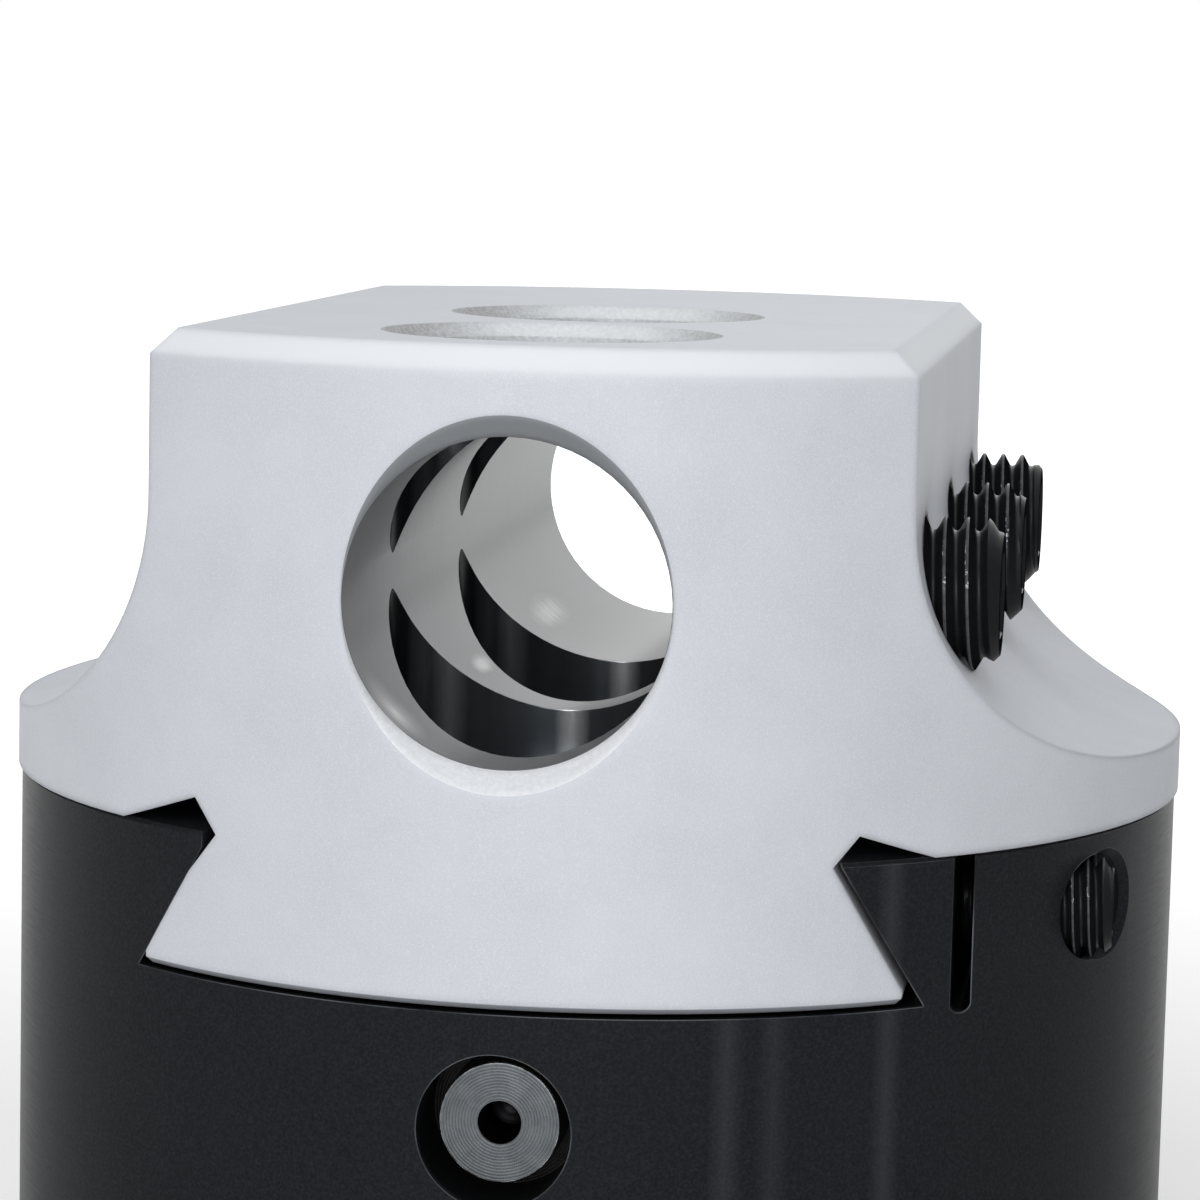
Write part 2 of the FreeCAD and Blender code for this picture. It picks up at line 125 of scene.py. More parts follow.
body_low, body_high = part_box("body")
slide_low, slide_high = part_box("tool_slide")
BODY_TOP = body_high.z
BODY_RADIUS = body_high.y
SLIDE_TOP = slide_high.z

# Bores and screws in the slide and the body
CROSS_BORE_Z = 73.53 * MM
CROSS_BORE_RADIUS = 12.625 * MM
CROSS_SINK_RADIUS = 14.3 * MM
BAR_BORE_RADIUS = 12.5 * MM
BAR_BORE_PLACES = (-30 * MM, 0.0)
BAR_BORE_FLOOR = 56.03 * MM
LEAD_Z = 33.2 * MM
GIB_SCREW_PLACES = {"front": -23.6 * MM, "rear": 23.6 * MM}
GIB_SCREW_Z = 47.9 * MM
GIB_HOLE_MOUTH = (40.08 * MM, 44.08 * MM)
GIB_HOLE_RADIUS = 4.3 * MM
GIB_HOLE_RIDGES = 0.22 * MM
GIB_HOLE_SETBACK = 0.1 * MM
ARBOR_THREAD = (1.2 * MM, 19.95 * MM)
ARBOR_SOCKET_RADIUS = 19.1 * MM
HOLE_THREAD_SKIN = 0.02 * MM

# Lead screw, from its tail to the dial's face
TAIL_END = -46.8 * MM
TAIL_RADIUS = 4.75 * MM
CENTRE_HOLE_RADIUS = 1.64 * MM
CENTRE_HOLE_DEPTH = 6.0 * MM
LEAD_THREAD = (-28.75 * MM, 18.3 * MM)
SHAFT_RADIUS = 6.0 * MM
ROOT_GAP = 0.02 * MM
COLLAR = (31.55 * MM, 34.55 * MM)
COLLAR_RADIUS = 7.4 * MM
HUB_START = 40.8 * MM
HUB_RADIUS = 5.0 * MM
KEY_HOLE_START = 43.85 * MM
KEY_HOLE_RADIUS = 1.51 * MM
LEAD_SOCKET = 5.0 * MM
EDGE_BREAK = 0.1 * MM
MOUTH_BREAK = 0.08 * MM

# Dial: its lines start and end at shares of the bevel's width from the face
DIAL_FACE = 49.15 * MM
DIAL_RADIUS = 8.0 * MM
DIAL_BEVEL = 1.4 * MM
DIAL_DIVISIONS = 50
DIAL_LONG_LINE_STEP = 5
DIAL_FIGURE_STEP = 10
DIAL_TOP_READING = 25
LONG_LINE_START = 0.12
SHORT_LINE_START = 0.45
DIAL_LINE_END = 0.92
FIGURE_RADIUS = 5.82 * MM
FIGURE_HEIGHT = 1.25 * MM
MARK_WIDTH = 0.13 * MM
MARK_LIFT = 0.012 * MM
O_RING_Y = 45.15 * MM
O_RING_RADIUS = 7.7 * MM
O_RING_SECTION_RADIUS = 0.55 * MM
O_RING_SECTION_POINTS = 20

# The line that the dial is read against: its gap under the dial, and its breadth in widths of a dial line
INDEX_LINE_GAP = 0.9 * MM
INDEX_LINE_LENGTH = 3.5 * MM
INDEX_LINE_BREADTH = 2.0

# How close to a surface a point still counts as on it
ON_WALL = 0.03 * MM
ON_BORE_FLOOR = 0.05 * MM
ON_SINK = 0.06 * MM

# Where finishes, painted light and painted shade start, or the two places between which they fade in
BAR_LEAD_WIDTH = 2.2 * MM
BAR_LEAD_DEPTH = 5 * MM
BAR_LEAD_SHADE = (6.0 * MM, 12.5 * MM)
BAR_BORE_MOUTH = (SLIDE_TOP - 9 * MM, SLIDE_TOP - 3 * MM)
BAR_BORE_SIDES = (10.5 * MM, 12.0 * MM)
SINK_SHADE = (CROSS_BORE_Z - 10 * MM, CROSS_BORE_Z + 4 * MM)
TOP_EDGE = (SLIDE_TOP - 3 * MM, SLIDE_TOP - 2 * MM)
FOOT_EDGE = (slide_low.z + 0.5 * MM, slide_low.z + 0.4 * MM)
BODY_SIDE = BODY_RADIUS - 0.1 * MM
BODY_INSIDE = BODY_RADIUS - 0.6 * MM
BODY_INSIDE_TOP = BODY_TOP - 0.2 * MM
TAIL_RIM = TAIL_RADIUS - 0.13 * MM
TAIL_RIM_END = TAIL_END + 0.2 * MM
CENTRE_HOLE_WALL = CENTRE_HOLE_RADIUS + 0.05 * MM

# Radii that edges look rounded with, and those that find the top chamfer and the body's worn edges
SLIDE_EDGE = 1.1 * MM
BORE_EDGE = 0.1 * MM
CHAMFER_ROUNDING = 1.4 * MM
WORN_EDGE = 0.25 * MM

# Painted highlights streaked up the body, where lamps reflect in its turned side: degrees round from the
# front, and strength
BODY_PAINTED_HIGHLIGHTS = ((20.4, 0.10), (24.7, 0.07), (35.6, 0.11))
BODY_HIGHLIGHT_HALF_WIDTH = 1.6

# Painted highlights streaked up the bar bores' walls: degrees round from the back, half the width, and
# strength
BORE_PAINTED_HIGHLIGHTS = ((2.0, 7.0, 1.0), (-48.0, 9.0, 0.45))

# Glints on the cross bore's wall: X and Y, half the width and half the length, and strength
BORE_GLINTS = (
    (-8.1 * MM, -13.2 * MM, 0.9 * MM, 4.0 * MM, 2.6),
    (-8.2 * MM, 22.3 * MM, 1.6 * MM, 9.0 * MM, 1.9),
    (-8.8 * MM, -46.2 * MM, 2.6 * MM, 4.0 * MM, 1.2),
)
GLINT_FALLOFF = 1.6

# Spacing of the tool marks on turned ends
TURNING_PITCH = 0.24 * MM


def srgb(red, green, blue):
    """A colour given as 0 to 255 on screen, as Blender's linear values."""
    def linear(value):
        share = value / 255
        return share / 12.92 if share <= 0.04045 else ((share + 0.055) / 1.055) ** 2.4
    return (linear(red), linear(green), linear(blue), 1.0)


# Node helpers


def new_material(name, colour, metallic, roughness, specular=0.5):
    """A material with a Principled shader, as (material, node tree, shader)."""
    material = bpy.data.materials.new(name)
    material.use_nodes = True
    tree = material.node_tree
    shader = tree.nodes["Principled BSDF"]
    shader.inputs["Base Color"].default_value = colour
    shader.inputs["Metallic"].default_value = metallic
    shader.inputs["Roughness"].default_value = roughness
    shader.inputs["Specular IOR Level"].default_value = specular
    return material, tree, shader


def set_socket(tree, socket, value):
    """Links a socket to another node's output, or sets it to a value."""
    if isinstance(value, bpy.types.NodeSocket):
        tree.links.new(value, socket)
    else:
        socket.default_value = value


def node(tree, kind, **sockets):
    """A node with its sockets set or linked, by name, or by number as i0, i1 and so on."""
    made = tree.nodes.new(kind)
    for name, value in sockets.items():
        numbered = name[0] == "i" and name[1:].isdigit()
        set_socket(tree, made.inputs[int(name[1:]) if numbered else name], value)
    return made


def calc(tree, operation, first, second=0.0):
    """One step of arithmetic."""
    made = node(tree, "ShaderNodeMath", i0=first, i1=second)
    made.operation = operation
    return made.outputs[0]


def product(tree, first, *others):
    """Values multiplied, or a mask of where several masks hold."""
    for other in others:
        first = calc(tree, "MULTIPLY", first, other)
    return first


def below(tree, value, limit):
    """1 where a value is under a limit."""
    return calc(tree, "LESS_THAN", value, limit)


def above(tree, value, limit):
    """1 where a value is over a limit."""
    return calc(tree, "GREATER_THAN", value, limit)


def apart(tree, first, second):
    """How far apart two values are."""
    return calc(tree, "ABSOLUTE", calc(tree, "SUBTRACT", first, second))


def distance(tree, first, second):
    """The length of the two sides' diagonal."""
    squares = calc(tree, "ADD", product(tree, first, first), product(tree, second, second))
    return calc(tree, "SQRT", squares)


def place_on_part(tree):
    """The point's place on the part at rest."""
    return tree.nodes.new("ShaderNodeTexCoord").outputs["Object"]


def axes_of(tree, vector):
    """The X, Y and Z of a vector."""
    return node(tree, "ShaderNodeSeparateXYZ", Vector=vector).outputs


def scaled(tree, vector, x, y, z):
    """A vector with each axis stretched."""
    made = node(tree, "ShaderNodeVectorMath", i0=vector, i1=(x, y, z))
    made.operation = "MULTIPLY"
    return made.outputs[0]


def noise(tree, vector, scale, detail=2.0, rough=0.5):
    """Smooth noise from 0 to 1, scale in lumps per metre."""
    made = node(tree, "ShaderNodeTexNoise", Vector=vector, Scale=scale, Detail=detail, Roughness=rough)
    return made.outputs["Fac"]


def spread(tree, value, low, high, to_low=0.0, to_high=1.0):
    """A value from low to high carried over to to_low to to_high, and held at both ends."""
    made = node(tree, "ShaderNodeMapRange", i0=value, i1=low, i2=high, i3=to_low, i4=to_high)
    made.clamp = True
    return made.outputs[0]


def blend_colours(tree, share, first, second):
    """Two colours mixed by a share."""
    made = tree.nodes.new("ShaderNodeMix")
    made.data_type = "RGBA"
    for index, value in ((0, share), (6, first), (7, second)):
        set_socket(tree, made.inputs[index], value)
    return made.outputs[2]


def blend_values(tree, share, first, second):
    """Two numbers mixed by a share."""
    made = tree.nodes.new("ShaderNodeMix")
    for index, value in ((0, share), (2, first), (3, second)):
        set_socket(tree, made.inputs[index], value)
    return made.outputs[0]


def speckled(tree, speckle, first, second):
    """Two colours in crisp spots of a noise."""
    return blend_colours(tree, spread(tree, speckle, 0.35, 0.65), first, second)


def streak_at(tree, bearing, angle, half_width, strength):
    """A painted highlight streaked up a round wall, strongest at an angle and gone at half its width, both
    in degrees.
    """
    off = apart(tree, bearing, math.radians(angle))
    return spread(tree, off, 0.0, math.radians(half_width), strength, 0.0)


def rounded_normal(tree, radius, samples=8):
    """The surface's normal with edges rounded to a radius."""
    made = node(tree, "ShaderNodeBevel", Radius=radius)
    made.samples = samples
    return made.outputs[0]


def bump(tree, shader, height, depth, edge_radius=None):
    """Relief of a depth in metres on the shader, over rounded edges where a radius is given."""
    made = node(tree, "ShaderNodeBump", Distance=depth, Height=height)
    if edge_radius is not None:
        tree.links.new(rounded_normal(tree, edge_radius), made.inputs["Normal"])
    tree.links.new(made.outputs[0], shader.inputs["Normal"])


def edge_mask(tree, width):
    """1 along outward edges and 0 on flats, from how a rounded normal leaves the plain one."""
    plain = tree.nodes.new("ShaderNodeNewGeometry").outputs["Normal"]
    made = node(tree, "ShaderNodeVectorMath", i0=rounded_normal(tree, width), i1=plain)
    made.operation = "DOT_PRODUCT"
    return spread(tree, made.outputs["Value"], 0.97, 0.80)


def seen_plainly(tree):
    """1 for rays from the camera, from gloss and through glass, which see the background as plain white."""
    rays = tree.nodes.new("ShaderNodeLightPath").outputs
    seen = calc(tree, "MAXIMUM", rays["Is Camera Ray"], rays["Is Glossy Ray"])
    return calc(tree, "MAXIMUM", seen, rays["Is Transmission Ray"])


# The slide's finishes


def satin_colour(tree, place, grain):
    """Blasted steel, with faint clouds and a fine pale grain."""
    clouds = noise(tree, place, 90, detail=3, rough=0.6)
    satin = blend_colours(tree, spread(tree, clouds, 0.3, 0.7), srgb(204, 208, 215), srgb(212, 216, 223))
    return blend_colours(tree, spread(tree, grain, 0.45, 0.8), satin, srgb(228, 231, 235))


def reamed_colour(tree, place, rings):
    """The cross bore's wall, with glints that the reamer's rings break up along the lower half."""
    x, y, z = axes_of(tree, place)
    ridges = noise(tree, scaled(tree, place, 1, 40, 1), 90)
    ridges = spread(tree, ridges, 0.4, 0.6, 0.55, 1.0)
    ridges = product(tree, ridges, below(tree, z, CROSS_BORE_Z))
    reamed = blend_colours(tree, rings, srgb(96, 100, 104), srgb(122, 126, 130))
    for glint_x, glint_y, half_width, half_length, strength in BORE_GLINTS:
        across = calc(tree, "DIVIDE", calc(tree, "SUBTRACT", x, glint_x), half_width)
        along = calc(tree, "DIVIDE", calc(tree, "SUBTRACT", y, glint_y), half_length)
        glint = spread(tree, distance(tree, across, along), 1.0, 0.0)
        glint = product(tree, calc(tree, "POWER", glint, GLINT_FALLOFF), strength, ridges)
        reamed = blend_colours(tree, glint, reamed, srgb(252, 253, 254))
    return reamed


def bar_bore_masks(tree, x, y, z):
    """Masks of the bar bores' walls, of the leads round their mouths, and of the painted highlights
    streaked up the walls.
    """
    walls = 0.0
    leads = 0.0
    streaks = 0.0
    below_top = below(tree, z, SLIDE_TOP - ON_WALL)
    above_floor = above(tree, z, BAR_BORE_FLOOR - ON_BORE_FLOOR)
    for bore_y in BAR_BORE_PLACES:
        from_bore_y = calc(tree, "SUBTRACT", y, bore_y)
        from_axis = distance(tree, x, from_bore_y)
        wall = product(tree, below(tree, from_axis, BAR_BORE_RADIUS + ON_WALL), above_floor)
        walls = calc(tree, "MAXIMUM", walls, wall)
        near = below(tree, from_axis, BAR_BORE_RADIUS + BAR_LEAD_WIDTH)
        near = product(tree, near, above(tree, z, SLIDE_TOP - BAR_LEAD_DEPTH), below_top)
        leads = calc(tree, "MAXIMUM", leads, near)
        bearing = calc(tree, "ARCTAN2", x, from_bore_y)
        # Painted highlights: pale streaks at set bearings round each bore
        for angle, half_width, strength in BORE_PAINTED_HIGHLIGHTS:
            streak = streak_at(tree, bearing, angle, half_width, strength)
            streaks = calc(tree, "MAXIMUM", streaks, product(tree, wall, streak))
    return walls, leads, streaks


def honed_colour(tree, hone_marks, streaks, sideways):
    """The bar bores' walls in painted shade, darkest at the sides, with painted highlights streaked up
    them.
    """
    streaks = product(tree, streaks, spread(tree, hone_marks, 0.3, 0.6, 0.8, 1.0))
    dark = blend_colours(tree, hone_marks, srgb(78, 83, 88), srgb(112, 117, 122))
    dark = blend_colours(tree, streaks, dark, srgb(246, 248, 250))
    return blend_colours(tree, sideways, dark, srgb(30, 32, 34))


def sink_colour(tree, speckle, z):
    """The cross bore's countersink, in painted light below and painted shade above."""
    bright = speckled(tree, speckle, srgb(226, 229, 233), srgb(240, 242, 246))
    return blend_colours(tree, spread(tree, z, *SINK_SHADE), bright, srgb(146, 149, 153))


def sink_mask(tree, from_cross_axis, y):
    """1 on the 45 degree cone of the cross bore's countersinks."""
    cone_place = calc(tree, "SUBTRACT", from_cross_axis, calc(tree, "ABSOLUTE", y))
    return below(tree, apart(tree, cone_place, CROSS_SINK_RADIUS + slide_low.y), ON_SINK)


def bar_lead_colour(tree, speckle, x):
    """The leads at the bar bores' mouths, in painted shade towards their ends and palest in the middle."""
    end = speckled(tree, speckle, srgb(164, 166, 169), srgb(208, 210, 213))
    middle = speckled(tree, speckle, srgb(220, 223, 226), srgb(234, 237, 240))
    return blend_colours(tree, spread(tree, calc(tree, "ABSOLUTE", x), *BAR_LEAD_SHADE), middle, end)


def slide_material():
    """Blasted steel outside, reamed in the cross bore and honed in the bar bores, with painted light and
    shade on its edges, countersinks, bore leads and bar bores, and painted glints in the cross bore.
    """
    material, tree, shader = new_material("slide_satin_steel", srgb(208, 212, 217), 0.1, 0.5, 0.2)
    place = place_on_part(tree)
    x, y, z = axes_of(tree, place)
    upwards = axes_of(tree, rounded_normal(tree, CHAMFER_ROUNDING, samples=4))[2]
    grain = noise(tree, place, 9000, detail=3, rough=0.7)
    rings = noise(tree, scaled(tree, place, 1, 60, 1), 180)
    hone_marks = noise(tree, scaled(tree, place, 1, 1, 0.15), 900, detail=3, rough=0.6)
    speckle = noise(tree, place, 2600, detail=4, rough=0.75)

    from_cross_axis = distance(tree, x, calc(tree, "SUBTRACT", z, CROSS_BORE_Z))
    in_cross = below(tree, from_cross_axis, CROSS_BORE_RADIUS + ON_WALL)
    in_bar, on_bar_lead, streaks = bar_bore_masks(tree, x, y, z)
    at_mouth = spread(tree, z, *BAR_BORE_MOUTH)
    sideways = spread(tree, calc(tree, "ABSOLUTE", x), *BAR_BORE_SIDES)
    slanting = spread(tree, apart(tree, upwards, math.sqrt(0.5)), 0.45, 0.05)
    on_chamfer = product(tree, slanting, spread(tree, z, *TOP_EDGE))

    # Painted shade in the bar bores, fading up to pale, painted light at their mouths
    mouth_colour = speckled(tree, speckle, srgb(204, 207, 210), srgb(232, 235, 238))
    bar_colour = honed_colour(tree, hone_marks, streaks, sideways)
    bar_colour = blend_colours(tree, at_mouth, bar_colour, mouth_colour)
    # Painted light: the top chamfer paler than the faces beside it
    colour = blend_colours(tree, on_chamfer, satin_colour(tree, place, grain), srgb(236, 240, 245))
    colour = blend_colours(tree, on_bar_lead, colour, bar_lead_colour(tree, speckle, x))
    # Painted shade: a grey band along the slide's lower edge, standing for a shaded chamfer
    colour = blend_colours(tree, spread(tree, z, *FOOT_EDGE), colour, srgb(140, 144, 150))
    on_sink = sink_mask(tree, from_cross_axis, y)
    colour = blend_colours(tree, on_sink, colour, sink_colour(tree, speckle, z))
    colour = blend_colours(tree, in_cross, colour, reamed_colour(tree, place, rings))
    colour = blend_colours(tree, in_bar, colour, bar_colour)
    tree.links.new(colour, shader.inputs["Base Color"])

    bar_roughness = blend_values(tree, at_mouth, 0.2, 0.5)
    roughness = blend_values(tree, in_bar, blend_values(tree, in_cross, 0.55, 0.28), bar_roughness)
    tree.links.new(roughness, shader.inputs["Roughness"])
    bar_metal = blend_values(tree, calc(tree, "MAXIMUM", at_mouth, sideways), 0.8, 0.1)
    tree.links.new(blend_values(tree, in_bar, 0.08, bar_metal), shader.inputs["Metallic"])
    on_top = spread(tree, upwards, 0.85, 0.95)
    shine = blend_values(tree, in_cross, blend_values(tree, on_top, 0.25, 0.14), 0.15)
    shine = blend_values(tree, product(tree, in_bar, sideways), shine, 0.0)
    tree.links.new(shine, shader.inputs["Specular IOR Level"])
    relief = blend_values(tree, in_bar, blend_values(tree, in_cross, grain, rings), hone_marks)
    edge_radius = blend_values(tree, calc(tree, "MAXIMUM", in_cross, in_bar), SLIDE_EDGE, BORE_EDGE)
    bump(tree, shader, relief, 0.006 * MM, edge_radius)
    return material


# The other finishes


def body_material():
    """Black oxide over fine turning, with painted highlights streaked up the side, painted shade inside,
    and worn along its edges.
    """
    material, tree, shader = new_material("body_black_oxide", srgb(26, 27, 30), 0.0, 0.32, 0.03)
    place = place_on_part(tree)
    x, y, z = axes_of(tree, place)
    turning = noise(tree, scaled(tree, place, 1, 1, 40), 260, detail=3)
    clouds = noise(tree, place, 70, detail=3, rough=0.6)
    grain = noise(tree, place, 4000, detail=3, rough=0.7)
    oxide = blend_colours(tree, clouds, srgb(25, 27, 30), srgb(33, 35, 38))
    oxide = blend_colours(tree, spread(tree, grain, 0.4, 0.8), oxide, srgb(46, 48, 52))
    from_axis = distance(tree, x, y)
    on_side = above(tree, from_axis, BODY_SIDE)
    bearing = calc(tree, "ARCTAN2", x, product(tree, y, -1.0))
    # Painted highlights: pale streaks at set bearings round the body's side
    for angle, strength in BODY_PAINTED_HIGHLIGHTS:
        streak = streak_at(tree, bearing, angle, BODY_HIGHLIGHT_HALF_WIDTH, strength)
        oxide = blend_colours(tree, product(tree, on_side, streak), oxide, srgb(120, 123, 128))
    # Painted shade on the body's inner walls, in the slit, bores and dovetail
    inside = product(tree, below(tree, from_axis, BODY_INSIDE), below(tree, z, BODY_INSIDE_TOP))
    oxide = blend_colours(tree, inside, oxide, srgb(17, 18, 20))
    worn = product(tree, edge_mask(tree, WORN_EDGE), spread(tree, clouds, 0.42, 0.6))
    tree.links.new(blend_colours(tree, worn, oxide, srgb(118, 121, 126)), shader.inputs["Base Color"])
    tree.links.new(spread(tree, turning, 0.2, 0.8, 0.27, 0.38), shader.inputs["Roughness"])
    bump(tree, shader, turning, 0.0015 * MM)
    return material


def screw_material():
    """Black oxide on rolled threads, rubbed bright in spots along the crests, with painted glints on the
    crests where they face up.
    """
    material, tree, shader = new_material("screw_black_oxide", srgb(22, 23, 25), 0.0, 0.36, 0.16)
    place = place_on_part(tree)
    spots = noise(tree, place, 1800, detail=3, rough=0.65)
    oxide = blend_colours(tree, spots, srgb(17, 18, 20), srgb(30, 31, 34))
    facing = axes_of(tree, tree.nodes.new("ShaderNodeNewGeometry").outputs["Normal"])
    off_end_face = spread(tree, facing[0], 0.8, 0.5)
    crest = node(tree, "ShaderNodeAttribute")
    crest.attribute_name = "crest"
    crests = product(tree, crest.outputs["Fac"], off_end_face)
    rubbed = product(tree, crests, spread(tree, spots, 0.4, 0.7, 0.16, 0.3))
    colour = blend_colours(tree, rubbed, oxide, srgb(140, 142, 146))
    # Painted highlights: glints on the crests where their normal tilts up towards the lamps
    painted_crest_glints = spread(tree, noise(tree, place, 3000, rough=0.6), 0.54, 0.6)
    lit = spread(tree, apart(tree, facing[2], 0.3), 0.14, 0.05)
    colour = blend_colours(tree, product(tree, painted_crest_glints, crests, lit), colour, srgb(222, 225, 232))
    tree.links.new(colour, shader.inputs["Base Color"])
    tree.links.new(product(tree, off_end_face, 0.16), shader.inputs["Specular IOR Level"])
    bump(tree, shader, spots, 0.006 * MM)
    return material


def turned_material(name, colour_low, colour_high):
    """Turned metal with rings about the lead screw's axis, a painted highlight round the tail's rim, and
    painted shade down its centre hole.
    """
    material, tree, shader = new_material(name, colour_low, 1.0, 0.34)
    place = place_on_part(tree)
    x, y, z = axes_of(tree, place)
    radius = distance(tree, x, calc(tree, "SUBTRACT", z, LEAD_Z))
    clouds = noise(tree, place, 700, detail=4, rough=0.7)
    waves = product(tree, calc(tree, "ADD", radius, y), math.tau / TURNING_PITCH)
    waves = calc(tree, "ADD", waves, product(tree, clouds, 4.0))
    rings = spread(tree, calc(tree, "SINE", waves), -1.0, 1.0)
    lathe_place = node(tree, "ShaderNodeCombineXYZ", X=radius, Y=y).outputs[0]
    uneven = noise(tree, lathe_place, 2500, rough=0.6)
    cuts = calc(tree, "ADD", product(tree, rings, 0.4), product(tree, uneven, 0.3))
    cuts = calc(tree, "ADD", cuts, spread(tree, clouds, 0.35, 0.65, 0.0, 0.35))
    colour = blend_colours(tree, cuts, colour_low, colour_high)
    # Painted highlight: a pale rim round the tail's end, in patches
    rim = product(tree, above(tree, radius, TAIL_RIM), below(tree, y, TAIL_RIM_END))
    rim = product(tree, rim, spread(tree, clouds, 0.45, 0.6))
    colour = blend_colours(tree, rim, colour, srgb(190, 194, 197))
    # Painted shade down the centre hole
    in_hole = below(tree, radius, CENTRE_HOLE_WALL)
    tree.links.new(blend_colours(tree, in_hole, colour, srgb(28, 28, 30)), shader.inputs["Base Color"])
    bump(tree, shader, rings, 0.006 * MM)
    return material


def rubber_material():
    """Matt black rubber with a fine speckle."""
    material, tree, shader = new_material("ring_rubber", srgb(26, 26, 27), 0.0, 0.6)
    speckle = noise(tree, place_on_part(tree), 9000, detail=3)
    colour = blend_colours(tree, speckle, srgb(20, 20, 21), srgb(38, 38, 39))
    tree.links.new(colour, shader.inputs["Base Color"])
    bump(tree, shader, speckle, 0.004 * MM)
    return material


def paint_material(name, colour):
    """Filler paint in engraved lines and figures."""
    material, tree, shader = new_material(name, colour, 0.0, 0.5)
    speckle = noise(tree, place_on_part(tree), 16000)
    darker = tuple(channel * 0.75 for channel in colour[:3]) + (1.0,)
    tree.links.new(blend_colours(tree, speckle, darker, colour), shader.inputs["Base Color"])
    bump(tree, shader, speckle, 0.002 * MM)
    return material


# Meshes that are turned about an axis


def ring_rows(steps, segments):
    """Round rings of a turned mesh, from pairs of a place along the axis and a radius."""
    return [[step] * segments for step in steps]


def hexagon_row(place, width, segments):
    """A ring with the shape of a hexagon of that width across its flats."""
    row = []
    for step in range(segments):
        angle = (step / segments * math.tau) % (math.pi / 3) - math.pi / 6
        row.append((place, width / 2 / math.cos(angle)))
    return row


def socket_rows(mouth, width, lead, segments):
    """Rings of a hexagon socket as deep as it is wide, from the lead at its mouth to its drilled point."""
    point = (mouth - width * SOCKET_POINT_DEPTH, width * SOCKET_POINT_RADIUS)
    return [
        hexagon_row(mouth, width + 2 * lead, segments),
        hexagon_row(mouth - lead, width, segments),
        hexagon_row(mouth - width, width, segments),
        *ring_rows([point], segments),
    ]


def thread_rows(start, end, radius, pitch, segments, end_radius, hand=1):
    """Rings that follow a thread between two places, cut back at 45 degrees to a radius at each end."""
    rows = []
    depth = THREAD_DEPTH * pitch
    for turn in range(math.floor(start / pitch) - 2, math.ceil(end / pitch) + 2):
        for share, fall in THREAD_FORM:
            row = []
            for step in range(segments):
                place = min(max((turn + share + hand * step / segments) * pitch, start), end)
                limit = end_radius + min(place - start, end - place)
                row.append((place, min(radius - fall * depth, limit)))
            rows.append(row)
    return rows


def inner_thread_rows(start, ends, radius, pitch, depth):
    """Rings that follow a thread cut into a hole's wall, from the start to the end given for each angle."""
    rows = []
    for turn in range(math.floor(start / pitch) - 2, math.ceil(max(ends) / pitch) + 2):
        for share, fall in THREAD_FORM:
            row = []
            for step, end in enumerate(ends):
                place = min(max((turn + share + step / len(ends)) * pitch, start), end)
                ridge = min(depth * (1 - fall), place - start, end - place)
                row.append((place, radius - ridge))
            rows.append(row)
    return rows


def key_hole_row(place, radius, segments):
    """A ring with the half-round notch of the key hole at its top."""
    row = []
    for step in range(segments):
        angle = step / segments * math.tau - math.pi / 2
        across = abs(radius * math.sin(angle))
        reach = radius
        if across < KEY_HOLE_RADIUS and math.cos(angle) > 0:
            notch = math.sqrt(KEY_HOLE_RADIUS ** 2 - across ** 2)
            reach = min(radius, radius * math.cos(angle) - notch)
        row.append((place, reach))
    return row


def turned_mesh(name, rows, to_world, crest_radius=math.inf, closed=False):
    """An object through rings of points about the local X axis, marked as crests past a radius."""
    segments = len(rows[0])
    points = []
    crests = []
    for row in rows:
        for step, (place, radius) in enumerate(row):
            angle = step / segments * math.tau
            points.append(to_world @ Vector((place, radius * math.cos(angle), radius * math.sin(angle))))
            crests.append(1.0 if radius > crest_radius else 0.0)
    pairs = list(zip(range(len(rows) - 1), range(1, len(rows))))
    if closed:
        pairs.append((len(rows) - 1, 0))
    faces = []
    for low, high in pairs:
        for step in range(segments):
            after = (step + 1) % segments
            corners = ((low, step), (low, after), (high, after), (high, step))
            faces.append([ring * segments + corner for ring, corner in corners])
    if not closed:
        faces.append(list(reversed(range(segments))))
        faces.append(list(range((len(rows) - 1) * segments, len(rows) * segments)))
    mesh = bpy.data.meshes.new(name)
    mesh.from_pydata(points, [], faces)
    attribute = mesh.attributes.new("crest", "FLOAT", "POINT")
    attribute.data.foreach_set("value", crests)
    return cleaned(name, mesh)


def cleaned(name, mesh, smooth_angle=35.0):
    """An object of the mesh, with doubled points joined, faces outwards and smooth between sharp edges."""
    work = bmesh.new()
    work.from_mesh(mesh)
    bmesh.ops.remove_doubles(work, verts=work.verts, dist=JOIN_DISTANCE)
    bmesh.ops.dissolve_degenerate(work, edges=work.edges, dist=SMALLEST_EDGE)
    bmesh.ops.recalc_face_normals(work, faces=work.faces)
    work.to_mesh(mesh)
    work.free()
    mesh.shade_smooth()
    mesh.set_sharp_from_angle(angle=math.radians(smooth_angle))
    return linked(name, mesh)


def linked(name, data):
    """A new object of some data, in the scene."""
    thing = bpy.data.objects.new(name, data)
    bpy.context.scene.collection.objects.link(thing)
    return thing


def along_x(x, y, z):
    """A local X axis laid along the part's X."""
    return Matrix.Translation((x, y, z))


def along_y(x, y, z):
    """A local X axis laid along the part's Y."""
    return Matrix.Translation((x, y, z)) @ Matrix.Rotation(math.radians(90), 4, "Z")


def along_z(x, y, z):
    """A local X axis laid along the part's Z."""
    return Matrix.Translation((x, y, z)) @ Matrix.Rotation(math.radians(-90), 4, "Y")


def finish_piece(piece, material, body, slot, *replaced):
    """Gives a piece its material and its body, and hides what it stands for; its slot is not used."""
    piece.data.materials.clear()
    piece.data.materials.append(material)
    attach(piece, body)
    if replaced:
        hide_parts(*replaced)


# Screws and threads


